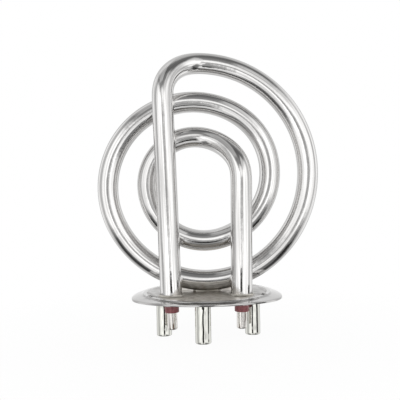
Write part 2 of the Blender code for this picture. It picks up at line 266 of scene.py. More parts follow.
bpy.ops.mesh.select_all(action="SELECT")
lowest = min(v.co.z for v in bmesh.from_edit_mesh(tube.data).verts)
up = PLATE_TOP + RETURN_GAP + TUBE_RADIUS - lowest
right = LEG_RIGHT + (place.z + up) * math.tan(LEAN_RIGHT) - place.x
bpy.ops.transform.translate(value=(right, 0, up))
ends_of(tube, last=True)
foot = Vector((LEG_RIGHT - TAIL * math.tan(LEAN_RIGHT), 0, -TAIL))
bpy.ops.mesh.extrude_region_move(
    TRANSFORM_OT_translate={"value": foot - place - Vector((right, 0, up))})

top = ends_of(tube, last=False)
reach = top.x + top.z * math.tan(LEAN_LEFT) - LEG_LEFT
left_radius = reach / (math.cos(LEAN_LEFT) + math.tan(LEAN_LEFT) * (1 + math.sin(LEAN_LEFT)))
bpy.ops.mesh.spin(steps=36, angle=math.pi / 2 + LEAN_LEFT, axis=(0, 1, 0),
                  center=top - Vector((0, 0, left_radius)))
shoulder = ends_of(tube, last=False)
foot = Vector((LEG_LEFT + TAIL * math.tan(LEAN_LEFT), 0, -TAIL))
bpy.ops.mesh.extrude_region_move(TRANSFORM_OT_translate={"value": foot - shoulder})
bpy.ops.object.mode_set(mode="OBJECT")
print("left shoulder radius", round(left_radius / MM, 2), "mm, it starts at", shoulder / MM)

# %% [markdown]
# So far the line lies in one upright plane. On the real element the legs stand in front of the spiral,
# and the tube moves back over the first 18 mm after each leg. As a curve its points are in order, so
# that move can follow the length along it.

# %% Move the spiral back
bpy.context.view_layer.objects.active = tube
bpy.ops.object.select_all(action="DESELECT")
tube.select_set(True)
bpy.ops.object.convert(target="CURVE")
tube = bpy.context.object


def running_lengths(line):
    """Give the length of a line up to each of its points."""
    lengths = [0.0]
    for here, after in zip(line, line[1:]):
        lengths.append(lengths[-1] + (after - here).length)
    return lengths


bent_line = [Vector(point.co[:3]) for point in tube.data.splines[0].points]
lengths = running_lengths(bent_line)
for point, length in zip(bent_line, lengths):
    share = min(length - lengths[1], lengths[-2] - length) / SET_BACK_RUN
    share = min(max(share, 0), 1)
    point.y = -SET_BACK * (1 - share * share * (3 - 2 * share))
print("tube length", round(lengths[-1] / MM), "mm")

# %% [markdown]
# A bent tube springs back a little where each bend starts and ends, so its curve never changes all at
# once, and in a mirror-bright tube that would show as a crease. The line is therefore laid out again
# in even steps, and each new point is the middle of the old line a little before and after it. Even
# steps also keep the tube's UV map even, which its streaks need later.

# %% Soften the bends and lay the line out evenly
def point_at(length):
    """Give the point at a length along the bent line."""
    length = min(max(length, 0), lengths[-1])
    after = next(i for i in range(1, len(lengths)) if lengths[i] >= length)
    share = (length - lengths[after - 1]) / (lengths[after] - lengths[after - 1])
    return bent_line[after - 1].lerp(bent_line[after], share)


SPRING_BACK = 1.6 * MM
steps = round(lengths[-1] / (0.9 * MM))
middle_line = []
for i in range(steps + 1):
    length = lengths[-1] * i / steps
    reach = min(SPRING_BACK, length, lengths[-1] - length)
    near = [point_at(length + reach * offset) for offset in (-2, -1, -0.5, 0, 0.5, 1, 2)
            if reach == SPRING_BACK] or [point_at(length)]
    middle_line.append(sum(near, Vector()) / len(near))
tube.data.splines.clear()
spline = tube.data.splines.new("POLY")
spline.points.add(steps)
for point, place in zip(spline.points, middle_line):
    point.co = (*place, 1)
print(steps, "steps of", round(lengths[-1] / steps / MM, 2), "mm")

# %% [markdown]
# The curve gets the tube's radius and becomes a mesh, and Solidify gives it its half millimetre of
# wall on the inside. The ends stay open for the seals.

# %% Make the tube
tube.data.dimensions = "3D"
tube.data.bevel_depth = TUBE_RADIUS
tube.data.bevel_resolution = 30
tube.data.use_fill_caps = False
bpy.ops.object.convert(target="MESH")
wall = tube.modifiers.new("wall", "SOLIDIFY")
wall.thickness, wall.offset = 0.5 * MM, -1
bpy.ops.object.modifier_apply(modifier="wall")
bpy.ops.object.shade_smooth_by_angle(angle=math.radians(40))
bpy.ops.object.select_all(action="DESELECT")
print("the tube has", len(tube.data.polygons), "faces")

# %% [markdown]
# ## The steel of the tube
#
# The tube is cold drawn stainless steel that was polished after bending. It mirrors its surroundings
# a little blurred, with faint streaks along the tube and a cloudier gloss here and there. The mesh
# that was made from a curve has a UV map that runs along the tube, so the streaks follow every bend:
# U is stretched over its 463 mm and V over the 20.7 mm round it.

# %% Polished stainless steel
# Drawn stainless steel tube, polished: a clear grey mirror with streaks along it.
TUBE_LENGTH, TUBE_ROUND = 463, 20.7     # mm
sheath_steel, tree, shader = new_material("drawn_stainless_steel", "#cfcdca", 1.0, 0.16)
along = node(tree, "ShaderNodeUVMap", {"uv_map": "UVMap"})
stretched = node(tree, "ShaderNodeMapping", {"Scale": (TUBE_LENGTH / 30, TUBE_ROUND / 0.9, 1)},
                 {"Vector": along.outputs["UV"]})
streaks = node(tree, "ShaderNodeTexNoise", {"Scale": 1.0, "Detail": 4.0},
               {"Vector": stretched.outputs["Vector"]})
where = node(tree, "ShaderNodeTexCoord")
clouds = node(tree, "ShaderNodeTexNoise", {"Scale": 1 / (4 * MM), "Detail": 3.0},
              {"Vector": where.outputs["Object"]})
fine = node(tree, "ShaderNodeMapping", {"Scale": (TUBE_LENGTH / 24, TUBE_ROUND / 0.45, 1)},
            {"Vector": along.outputs["UV"]})
lines = node(tree, "ShaderNodeTexNoise", {"Scale": 1.0, "Detail": 3.0},
             {"Vector": fine.outputs["Vector"]})
strong = node(tree, "ShaderNodeMapRange", {"From Min": 0.36, "From Max": 0.64},
              {"Value": lines.outputs["Fac"]})
tree.links.new(mix(tree, strong.outputs["Result"], "#c5c4c3", "#e9e8e7"), shader.inputs["Base Color"])
gloss = node(tree, "ShaderNodeMapRange",
             {"From Min": 0.3, "From Max": 0.7, "To Min": 0.06, "To Max": 0.15},
             {"Value": clouds.outputs["Fac"]})
tree.links.new(gloss.outputs["Result"], shader.inputs["Roughness"])
waves = node(tree, "ShaderNodeBump", {"Strength": 1.0, "Distance": 0.06 * MM},
             {"Height": clouds.outputs["Fac"]})
bump = node(tree, "ShaderNodeBump", {"Strength": 0.6, "Distance": 0.04 * MM},
            {"Height": streaks.outputs["Fac"], "Normal": waves.outputs["Normal"]})
tree.links.new(bump.outputs["Normal"], shader.inputs["Normal"])
stands_for(tube, sheath_steel, "sheath_steel", "sheath_tube")
print("made", sheath_steel.name)

# %% [markdown]
# ## The head plate
#
# The head plate is pressed from 0.6 mm sheet: a flat rim, a short slope and a slightly higher centre
# on which the control rests from below. One disc is inset ring by ring, and the slope is the inset
# that also rises. The folds are bevelled to the radius that the press leaves, then Solidify makes
# the sheet. The rim's left and right ends are bent down a little, as the photograph shows, and two
# marks near them are taken for small pressed bumps.

# %% Press the plate
PLATE_RADIUS, RIM_INNER, CENTRE_RADIUS = 23.9 * MM, 20.7 * MM, 20.2 * MM
SHEET, CENTRE_RAISE = 0.6 * MM, 0.4 * MM
RIM_DROOP, RIM_LIFT = 1.0 * MM, 0.2 * MM     # at its left and right ends, and at its front
PIPS = ((-17.4 * MM, -9 * MM), (17.4 * MM, -8.5 * MM))     # two small pressed bumps
PIP_HEIGHT, PIP_WIDTH = 0.55 * MM, 0.95 * MM


def across(item):
    """Give the distance from the middle of the plate to a vertex."""
    return math.hypot(item.co.x, item.co.y)


def on_ring(edge, radius):
    """Tell whether an edge lies on a circle about the middle."""
    return all(abs(across(corner) - radius) < 0.04 * MM for corner in edge.verts)


bpy.ops.mesh.primitive_circle_add(vertices=192, radius=PLATE_RADIUS, fill_type="NGON",
                                  location=(0, 0, PLATE_TOP - CENTRE_RAISE))
plate = begin(bpy.context.object, "pressed_plate")
for _ in range(4):
    bpy.ops.mesh.inset(thickness=(PLATE_RADIUS - RIM_INNER) / 4, depth=0)
bpy.ops.mesh.inset(thickness=RIM_INNER - CENTRE_RADIUS, depth=CENTRE_RAISE)
for width in [0.5] * 12 + [4, 4]:
    bpy.ops.mesh.inset(thickness=width * MM, depth=0)
folds = pick(plate, "EDGE", lambda edge: on_ring(edge, RIM_INNER) or on_ring(edge, CENTRE_RADIUS))
bpy.ops.mesh.bevel(offset=0.15 * MM, segments=4)
end(plate)
sheet = plate.modifiers.new("sheet", "SOLIDIFY")
sheet.thickness, sheet.offset = SHEET, -1
bpy.context.view_layer.objects.active = plate
bpy.ops.object.modifier_apply(modifier="sheet")
print("bevelled", folds, "edges of the folds")

# %% Round its edge and bend its two ends down
plate.select_set(True)
bpy.ops.object.mode_set(mode="EDIT")
pick(plate, "EDGE", lambda edge: on_ring(edge, PLATE_RADIUS) and height(edge) is not None)
bpy.ops.mesh.bevel(offset=0.15 * MM, segments=3)
bpy.ops.object.mode_set(mode="OBJECT")
for vertex in plate.data.vertices:
    share = min(max((across(vertex) - RIM_INNER) / (PLATE_RADIUS - RIM_INNER), 0), 1)
    vertex.co.z -= RIM_DROOP * share * abs(vertex.co.x / PLATE_RADIUS) ** 3
    vertex.co.z += RIM_LIFT * share * max(-vertex.co.y / PLATE_RADIUS, 0) ** 3
    for pip in PIPS:
        vertex.co.z += PIP_HEIGHT * math.exp(-((vertex.co.xy - Vector(pip)).length / PIP_WIDTH) ** 2)

for foot_x, lean in ((LEG_LEFT, -LEAN_LEFT), (LEG_RIGHT, LEAN_RIGHT)):
    bpy.ops.object.select_all(action="DESELECT")
    bpy.ops.mesh.primitive_cylinder_add(vertices=96, radius=TUBE_RADIUS + 0.15 * MM, depth=4 * MM,
                                        location=(foot_x, -SET_BACK, 0), rotation=(0, lean, 0))
    punch = bpy.context.object
    hole = plate.modifiers.new("leg hole", "BOOLEAN")
    hole.object, hole.operation, hole.solver = punch, "DIFFERENCE", "EXACT"
    bpy.context.view_layer.objects.active = plate
    bpy.ops.object.modifier_apply(modifier="leg hole")
    bpy.data.objects.remove(punch)
plate.select_set(True)
bpy.ops.object.shade_smooth_by_angle(angle=math.radians(35))
bpy.ops.object.select_all(action="DESELECT")
print("head plate", len(plate.data.polygons), "faces")

# %% Satin stainless steel
# Cold rolled stainless sheet. Its pressed rim is smooth and bright, and the heat of the brazing has
# left the centre duller and browner, in blotches two or three millimetres wide. A darker oval under
# the outer turn is painted shadow, and two dark rings at the front, in the fold and just inside it,
# are painted shade.
plate_steel, tree, shader = new_material("satin_stainless_sheet", "#b9b6b0", 1.0, 0.3)
where = node(tree, "ShaderNodeTexCoord")
level = node(tree, "ShaderNodeVectorMath", {"operation": "MULTIPLY"}, {0: where.outputs["Object"]})
level.inputs[1].default_value = (1, 1, 0)
radius = node(tree, "ShaderNodeVectorMath", {"operation": "LENGTH"}, {0: level.outputs["Vector"]})
outwards = node(tree, "ShaderNodeMapRange", {"From Min": 17 * MM, "From Max": 22 * MM},
                {"Value": radius.outputs["Value"]}).outputs["Result"]
polish = ramp(tree, outwards, [(0.38, 0), (0.46, 1)])
# Painted shade: two dark rings at the front, one in the fold and a fainter one just inside it.
painted_fold_shade = ramp(tree, outwards, [(0.2, 0), (0.3, 0.3), (0.4, 0), (0.68, 0), (0.72, 1), (0.76, 1), (0.8, 0)])
axes = node(tree, "ShaderNodeSeparateXYZ", {}, {"Vector": where.outputs["Object"]})
front = node(tree, "ShaderNodeMapRange", {"From Min": -14 * MM, "From Max": -19 * MM},
             {"Value": axes.outputs["Y"]})
to_the_right = node(tree, "ShaderNodeMapRange", {"From Min": -24 * MM, "From Max": 24 * MM},
                    {"Value": axes.outputs["X"]})
painted_shade_spread = ramp(tree, to_the_right.outputs["Result"], [(0.3, 0.1), (0.45, 0.9), (0.6, 0.9), (0.67, 0.05)])
painted_shade_spread = node(tree, "ShaderNodeMath", {"operation": "MULTIPLY"},
              {0: painted_shade_spread, 1: front.outputs["Result"]})
painted_fold_shade = node(tree, "ShaderNodeMath", {"operation": "MULTIPLY"}, {0: painted_fold_shade, 1: painted_shade_spread.outputs["Value"]})
side = node(tree, "ShaderNodeMath", {"operation": "ABSOLUTE"}, {0: axes.outputs["X"]})
cooler = node(tree, "ShaderNodeMapRange", {"From Min": 9 * MM, "From Max": 16 * MM,
                                           "interpolation_type": "SMOOTHSTEP"},
              {"Value": side.outputs["Value"]})
blotches = node(tree, "ShaderNodeTexNoise", {"Scale": 1 / (2.5 * MM), "Detail": 6.0, "Roughness": 0.7},
                {"Vector": where.outputs["Object"]})
strong = node(tree, "ShaderNodeMapRange", {"From Min": 0.34, "From Max": 0.66},
              {"Value": blotches.outputs["Fac"]})
tint = mix(tree, strong.outputs["Result"], "#b0a99f", "#ece8e1")
grey = mix(tree, strong.outputs["Result"], "#b9b8b6", "#e0dfde")
heated = mix(tree, cooler.outputs["Result"], tint, grey)
# Painted shadow: the plate is darkened in an oval on the centre under the outer turn.
oval = node(tree, "ShaderNodeVectorMath", {"operation": "DIVIDE"}, {0: where.outputs["Object"]})
oval.inputs[1].default_value = (12 * MM, 3.4 * MM, 1)
oval = node(tree, "ShaderNodeVectorMath", {"operation": "LENGTH"}, {0: oval.outputs["Vector"]})
painted_shadow_under_turn = node(tree, "ShaderNodeMapRange", {"From Min": 1.25, "From Max": 0.6, "To Max": 0.5},
                      {"Value": oval.outputs["Value"]})
with_painted_shadow = mix(tree, painted_shadow_under_turn.outputs["Result"], heated, "#7a7268")
clean = mix(tree, polish, with_painted_shadow, "#bcbbba")
# The painted shade of the front fold goes on over everything else.
with_painted_fold_shade = mix(tree, painted_fold_shade.outputs["Value"], clean, "#2e2b28")
tree.links.new(with_painted_fold_shade, shader.inputs["Base Color"])
dull = node(tree, "ShaderNodeMapRange", {"To Min": 0.55, "To Max": 0.3},
            {"Value": strong.outputs["Result"]})
gloss = node(tree, "ShaderNodeMix", {"data_type": "FLOAT"},
             {"Factor": polish, 2: dull.outputs["Result"]})
gloss.inputs[3].default_value = 0.12
tree.links.new(gloss.outputs[0], shader.inputs["Roughness"])
uneven = node(tree, "ShaderNodeMapRange", {"To Min": 1.0, "To Max": 0.12}, {"Value": polish})
bump = node(tree, "ShaderNodeBump", {"Distance": 0.05 * MM},
            {"Height": blotches.outputs["Fac"], "Strength": uneven.outputs["Result"]})
tree.links.new(bump.outputs["Normal"], shader.inputs["Normal"])
stands_for(plate, plate_steel, "plate_steel", "head_plate")
print("made", plate_steel.name)

# %% [markdown]
# ## The studs
#
# Three turned and plated pillars hold the kettle's control by screws, so each has a tapped hole in
# its free end. One is made at the origin: a cylinder with its end inset for the hole, and a chamfer.
# The screw thread is a small triangle that the Screw modifier winds up inside the hole. The other
# two are copies, each with its own mesh.

# %% Turn one stud
STUD_RADIUS, STUD_LENGTH, SEAT = 2.4 * MM, 12.7 * MM, 0.05 * MM
HOLE_RADIUS, HOLE_DEPTH, CREST = 1.5 * MM, 9.0 * MM, 0.25 * MM
STUD_PLACES = {"front": 263.5, "left": 191, "right": 349}     # degrees round their circle
STUD_CIRCLE, STUD_CIRCLE_SHIFT = 14.2 * MM, 0.35 * MM          # its radius, and how far right it lies
THREAD_START, THREAD_PITCH, THREAD_TURNS = -12.1 * MM, 0.5 * MM, 16


def copy_to(piece, name, place, lean=0.0, turn=0.0):
    """Copy a finished piece with a mesh of its own, and put its place into that mesh."""
    made = piece.copy()
    made.data = piece.data.copy()
    made.name = made.data.name = name
    bpy.context.collection.objects.link(made)
    made.data.transform(Matrix.Translation(place) @ Matrix.Rotation(lean, 4, "Y")
                        @ Matrix.Rotation(turn, 4, "Z"))
    return made


bpy.ops.mesh.primitive_cylinder_add(vertices=72, radius=STUD_RADIUS, depth=STUD_LENGTH - SEAT,
                                    location=(0, 0, -(STUD_LENGTH + SEAT) / 2))
stud = begin(bpy.context.object, "stud_front_turned")
pick(stud, "FACE", lambda face: face.normal.z < -0.9)
bpy.ops.mesh.inset(thickness=STUD_RADIUS - HOLE_RADIUS - 0.2 * MM)
bpy.ops.mesh.inset(thickness=0.2 * MM, depth=-0.2 * MM)
bpy.ops.mesh.extrude_region_move(TRANSFORM_OT_translate={"value": (0, 0, HOLE_DEPTH - 0.2 * MM)})
bpy.ops.mesh.extrude_region_move(TRANSFORM_OT_translate={"value": (0, 0, 0.7 * MM)})
bpy.ops.mesh.merge(type="CENTER")
pick(stud, "EDGE", lambda edge: on_ring(edge, STUD_RADIUS) and height(edge) is not None
     and height(edge) < -STUD_LENGTH / 2)
bpy.ops.mesh.bevel(offset=0.3 * MM, segments=3)
pick(stud, "EDGE", lambda edge: edge.calc_length() > 11 * MM)
bpy.ops.mesh.subdivide(number_cuts=24)
end(stud)

bpy.ops.mesh.primitive_circle_add(vertices=3, radius=CREST, location=(HOLE_RADIUS, 0, THREAD_START),
                                  rotation=(math.pi / 2, -math.pi / 2, 0))
thread = begin(bpy.context.object, "thread")
bpy.ops.object.mode_set(mode="OBJECT")
winding = thread.modifiers.new("winding", "SCREW")
winding.screw_offset, winding.iterations = THREAD_PITCH, THREAD_TURNS
winding.steps = winding.render_steps = 36
bpy.ops.object.modifier_apply(modifier="winding")
bpy.ops.object.mode_set(mode="EDIT")
bpy.ops.mesh.select_all(action="SELECT")
bpy.ops.mesh.fill_holes(sides=3)
end(thread)
thread.select_set(True)
stud.select_set(True)
bpy.context.view_layer.objects.active = stud
bpy.ops.object.join()
bpy.ops.object.select_all(action="DESELECT")
print("one stud has", len(stud.data.polygons), "faces")

# %% Bright nickel plating
# Steel pillars with bright nickel plating, which is a little yellower than the stainless tube.
stud_nickel, tree, shader = new_material("bright_nickel_plating", "#d3d3cd", 1.0, 0.06)
where = node(tree, "ShaderNodeTexCoord")
marks = node(tree, "ShaderNodeMapping", {"Scale": (1 / (6 * MM), 1 / (6 * MM), 1 / (0.6 * MM))},
             {"Vector": where.outputs["Object"]})
rings = node(tree, "ShaderNodeTexNoise", {"Scale": 1.0, "Detail": 2.0},
             {"Vector": marks.outputs["Vector"]})
bump = node(tree, "ShaderNodeBump", {"Strength": 0.1, "Distance": 0.005 * MM},
            {"Height": rings.outputs["Fac"]})
tree.links.new(bump.outputs["Normal"], shader.inputs["Normal"])

stud_places = {}
for which, degrees in STUD_PLACES.items():
    angle = math.radians(degrees)
    stud_places[which] = Vector((STUD_CIRCLE_SHIFT + STUD_CIRCLE * math.cos(angle),
                                 STUD_CIRCLE * math.sin(angle), 0))
    pillar = copy_to(stud, f"turned_stud_{which}", stud_places[which], turn=angle)
    displace(pillar, 0.05 * MM, 2.5 * MM, lambda point: -11.9 * MM < point.z < -0.5 * MM)
    displace(pillar, 0.12 * MM, 1.1 * MM,     # dents, strongest 2.2 mm below the plate
             lambda point: max(0, 1 - abs(point.z + 2.2 * MM) / (1.7 * MM)))
    stands_for(pillar, stud_nickel, "stud_nickel", f"stud_{which}")
bpy.data.objects.remove(stud)
print("studs at", [tuple(round(c / MM, 1) for c in p) for p in stud_places.values()])

# %% [markdown]
# ## Pins and seals
#
# In each tube end a nickel plated pin carries the current to the wire, and a silicone plug keeps
# water out of the powder. The pin is a cylinder with a rounded end and a thin spigot, which is one
# more inset and extrude. The seal starts as a wider cylinder whose lower end is drawn in where it
# leaves the tube, and bridging its two end faces opens the hole for the pin.

# %% Turn a pin and mould a seal
FEET = {"left": (Vector((LEG_LEFT, -SET_BACK, 0)), -LEAN_LEFT),
        "right": (Vector((LEG_RIGHT, -SET_BACK, 0)), LEAN_RIGHT)}
PIN_RADIUS, PIN_BELOW, PIN_ABOVE = 1.55 * MM, 9.8 * MM, 24 * MM
bpy.ops.mesh.primitive_cylinder_add(vertices=64, radius=PIN_RADIUS, depth=PIN_BELOW + PIN_ABOVE,
                                    location=(0, 0, (PIN_ABOVE - PIN_BELOW) / 2))
pin = begin(bpy.context.object, "pin")
pick(pin, "FACE", lambda face: face.normal.z > 0.9)
bpy.ops.mesh.inset(thickness=0.7 * MM)
bpy.ops.mesh.extrude_region_move(TRANSFORM_OT_translate={"value": (0, 0, 3.5 * MM)})
pick(pin, "EDGE", lambda edge: height(edge) is not None and height(edge) < -9 * MM)
bpy.ops.mesh.bevel(offset=0.6 * MM, segments=6)
end(pin)

SEAL_BELOW, SEAL_PLUG = 4.5 * MM, 3.0 * MM
bpy.ops.mesh.primitive_cylinder_add(vertices=64, radius=2.45 * MM, depth=SEAL_PLUG + TAIL,
                                    location=(0, 0, (SEAL_PLUG - TAIL) / 2))
seal = begin(bpy.context.object, "seal")
pick(seal, "FACE", lambda face: face.normal.z < -0.9)
bpy.ops.mesh.inset(thickness=0.25 * MM)
bpy.ops.mesh.extrude_region_move(TRANSFORM_OT_translate={"value": (0, 0, TAIL - SEAL_BELOW)})
pick(seal, "EDGE", lambda edge: height(edge) is not None and height(edge) < -4 * MM)
bpy.ops.mesh.bevel(offset=0.2 * MM, segments=4)
pick(seal, "FACE", lambda face: face.normal.z < -0.99 and height(face) < -4 * MM)
bpy.ops.mesh.inset(thickness=0.35 * MM)
pick(seal, "FACE", lambda face: face.normal.z > 0.99 and height(face) > 2 * MM)
bpy.ops.mesh.inset(thickness=0.8 * MM)
pick(seal, "FACE", lambda face: len(face.verts) > 8)
bpy.ops.mesh.bridge_edge_loops()
end(seal)

# %% Rubber, and both pieces on both legs
# Silicone rubber, moulded and dark red: soft gloss, with a little dust on it.
seal_rubber, tree, shader = new_material("moulded_silicone_rubber", "#84393f", 0.0, 0.4)
where = node(tree, "ShaderNodeTexCoord")
dust = node(tree, "ShaderNodeTexNoise", {"Scale": 1 / (0.9 * MM), "Detail": 4.0},
            {"Vector": where.outputs["Object"]})
tree.links.new(mix(tree, dust.outputs["Fac"], "#6d3338", "#ad6a6e"), shader.inputs["Base Color"])
gloss = node(tree, "ShaderNodeMapRange", {"To Min": 0.3, "To Max": 0.6}, {"Value": dust.outputs["Fac"]})
tree.links.new(gloss.outputs["Result"], shader.inputs["Roughness"])
bump = node(tree, "ShaderNodeBump", {"Strength": 0.3, "Distance": 0.05 * MM},
            {"Height": dust.outputs["Fac"]})
tree.links.new(bump.outputs["Normal"], shader.inputs["Normal"])

# The pins are drawn steel with a thin dull nickel plating: drawing lines run down them, brown where
# the plating has worn through.
pin_steel, tree, shader = new_material("plated_drawn_steel", "#dad7d2", 1.0, 0.2)
where = node(tree, "ShaderNodeTexCoord")
drawn = node(tree, "ShaderNodeMapping", {"Scale": (1 / (0.45 * MM), 1 / (0.45 * MM), 1 / (7 * MM))},
             {"Vector": where.outputs["Object"]})
lines = node(tree, "ShaderNodeTexNoise", {"Scale": 1.0, "Detail": 3.0},
             {"Vector": drawn.outputs["Vector"]})
worn = node(tree, "ShaderNodeMapRange", {"From Min": 0.56, "From Max": 0.66},
            {"Value": lines.outputs["Fac"]})
tree.links.new(mix(tree, worn.outputs["Result"], "#e6e3df", "#75604f"), shader.inputs["Base Color"])
bump = node(tree, "ShaderNodeBump", {"Strength": 0.6, "Distance": 0.05 * MM},
            {"Height": lines.outputs["Fac"]})
tree.links.new(bump.outputs["Normal"], shader.inputs["Normal"])
for side, (foot, lean) in FEET.items():
    stands_for(copy_to(pin, f"turned_pin_{side}", foot, lean), pin_steel, "stud_nickel",
               f"cold_pin_{side}")
    stands_for(copy_to(seal, f"moulded_seal_{side}", foot, lean), seal_rubber, "seal_rubber",
               f"end_seal_{side}")
bpy.data.objects.remove(pin)
bpy.data.objects.remove(seal)
print("pins and seals are in place")

# %% [markdown]
# ## Brazing
#
# Nickel braze runs into every corner and leaves a hollow fillet. A ring is bridged open, its free
# corner gets a bevel with a hollow profile, and noise makes it as uneven as molten metal sets.

# %% Run a fillet round each leg and stud
def fillet(name, inner, width, tall):
    """Make a hollow fillet that stands on the origin's level round a post."""
    bpy.ops.mesh.primitive_cylinder_add(vertices=96, radius=inner + width, depth=tall,
                                        location=(0, 0, tall / 2))
    ring = begin(bpy.context.object, name)
    pick(ring, "FACE", lambda face: abs(face.normal.z) > 0.9)
    bpy.ops.mesh.inset(thickness=width * 0.97, use_individual=True)
    pick(ring, "FACE", lambda face: len(face.verts) > 8)
    bpy.ops.mesh.bridge_edge_loops()
    pick(ring, "EDGE", lambda edge: on_ring(edge, inner + width) and height(edge) is not None
         and height(edge) > tall / 2)
    bpy.ops.mesh.bevel(offset=width * 0.93, segments=8, profile=0.1)
    end(ring, 50)
    return ring


# Nickel braze: a satin silver that sets in tiny ripples, and yellows where the flux burnt on it.
braze_metal, tree, shader = new_material("nickel_braze", "#cdcac4", 1.0, 0.42)
where = node(tree, "ShaderNodeTexCoord")
ripples = node(tree, "ShaderNodeTexNoise", {"Scale": 1 / (0.7 * MM), "Detail": 4.0},
               {"Vector": where.outputs["Object"]})
tree.links.new(mix(tree, ripples.outputs["Fac"], "#b0aa9c", "#e4e2de"), shader.inputs["Base Color"])
bump = node(tree, "ShaderNodeBump", {"Strength": 0.5, "Distance": 0.04 * MM},
            {"Height": ripples.outputs["Fac"]})
tree.links.new(bump.outputs["Normal"], shader.inputs["Normal"])
UNLIKE = 900     # radians of turn for a metre of x, so that the two fillets don't look alike
ring = fillet("leg_fillet", TUBE_RADIUS + 0.1 * MM, 0.55 * MM, 0.5 * MM)
for side, (foot, lean) in FEET.items():
    made = copy_to(ring, f"leg_fillet_{side}", foot + Vector((0, 0, PLATE_TOP + SEAT)), 0,
                   foot.x * UNLIKE)
    displace(made, 0.08 * MM, 2.5 * MM)
    stands_for(made, braze_metal, "braze", f"leg_braze_{side}")
bpy.data.objects.remove(ring)
ring = fillet("stud_fillet", STUD_RADIUS + SEAT, 0.45 * MM, 0.8 * MM)
for which, place in stud_places.items():
    middle = place - Vector((0, 0, SEAT))
    made = copy_to(ring, f"stud_fillet_{which}", middle)
    made.data.transform(Matrix.Translation(middle) @ Matrix.Rotation(math.pi, 4, "X")
                        @ Matrix.Translation(-middle))
    stands_for(made, braze_metal, "braze", f"stud_braze_{which}")
bpy.data.objects.remove(ring)
print("five fillets")

# %% [markdown]
# Under the outer turn a small pad of braze joins the tube to the plate, so that the control feels
# the heat if the kettle runs dry. It starts as a flat box that is bevelled and cut finely. Each of its
# points that would lie inside the tube is pushed out to the tube's skin, which hollows it.

# %% Braze the outer turn to the plate
PAD_HEIGHT = 0.75 * MM
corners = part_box("return_braze")
pad_x = (corners[0][0] + corners[1][0]) / 2


def from_middle_line(point):
    """Give the offset of a point from the middle line of the tube."""
    i = min(range(1, len(middle_line) - 1), key=lambda i: (middle_line[i] - point).length)
    ahead = (middle_line[i + 1] - middle_line[i - 1]).normalized()
    offset = point - middle_line[i]
    return offset - offset.dot(ahead) * ahead


bpy.ops.mesh.primitive_cube_add(size=1, scale=(9 * MM, 2.4 * MM, PAD_HEIGHT),
                                location=(pad_x, 0, PLATE_TOP + SEAT + PAD_HEIGHT / 2))
pad = begin(bpy.context.object, "return_pad")
pick(pad, "EDGE", lambda edge: height(edge) is None)
bpy.ops.mesh.bevel(offset=1.2 * MM, segments=6)
pick(pad, "EDGE", lambda edge: height(edge) is not None and height(edge) > 1 * MM)
bpy.ops.mesh.bevel(offset=0.4 * MM, segments=4)
bpy.ops.mesh.select_all(action="SELECT")
bpy.ops.mesh.subdivide(number_cuts=3)
end(pad)
displace(pad, 0.25 * MM, 2 * MM, lambda point: point.z > PLATE_TOP + 0.2 * MM)
for vertex in pad.data.vertices:
    offset = from_middle_line(vertex.co)
    if offset.length < TUBE_RADIUS + SEAT:
        vertex.co += offset.normalized() * (TUBE_RADIUS + SEAT - offset.length)
    vertex.co.z = max(vertex.co.z, PLATE_TOP + SEAT)
stands_for(pad, braze_metal, "braze", "return_braze")
print("pad at x", round(pad_x / MM, 2))

# %% [markdown]
# ## What is inside
#
# The coil and the powder can't be seen until the tube is cut open. Their CAD solids have the right
# shape, so they stay and only get their finish.

# %% Powder and wire
def grainy(tree, shader, size, dark, light, depth):
    """Give a material grains of one size, in two colours and with a little relief."""
    where = node(tree, "ShaderNodeTexCoord")
    grains = node(tree, "ShaderNodeTexNoise", {"Scale": 1 / size, "Detail": 3.0},
                  {"Vector": where.outputs["Object"]})
    strong = node(tree, "ShaderNodeMapRange", {"From Min": 0.36, "From Max": 0.64},
                  {"Value": grains.outputs["Fac"]})
    tree.links.new(mix(tree, strong.outputs["Result"], dark, light), shader.inputs["Base Color"])
    relief = node(tree, "ShaderNodeBump", {"Distance": depth}, {"Height": grains.outputs["Fac"]})
    tree.links.new(relief.outputs["Normal"], shader.inputs["Normal"])


# Magnesia powder, pressed hard when the tube is drawn down: dull white grains of 0.3 mm.
magnesia, tree, shader = new_material("pressed_magnesia", "#e3e0da", 0.0, 0.9)
grainy(tree, shader, 0.3 * MM, "#cfcbc3", "#efede9", 0.05 * MM)
# Nickel-chromium wire, annealed: dull grey metal with a mottled oxide of half a millimetre.
wire_metal, tree, shader = new_material("nickel_chromium_wire", "#959290", 1.0, 0.5)
grainy(tree, shader, 0.5 * MM, "#74706a", "#aaa7a4", 0.02 * MM)
for name, its_material in (("magnesia_sleeve", magnesia), ("magnesia_core", magnesia),
                           ("resistance_coil", wire_metal)):
    for socket in nodes[name].material_slots:
        socket.material = its_material
print("the filling has its finish")

# %% [markdown]
# ## The studio
#
# A polished tube has hardly a colour of its own: it shows what stands round it. So the studio is
# made from what the photograph's tube mirrors, as soft areas of light over the directions. White
# walls glow at both sides of the camera, a lamp hangs above it and a screen lies below it. Ceiling
# and table are dim, and everything behind the element is the white sweep. The camera itself sees
# plain white everywhere.
#
# These areas were fitted to this one photograph. They belong to its studio and not to the steel, so
# under plain light the tube looks different, and a scene that reuses the element brings its own world.

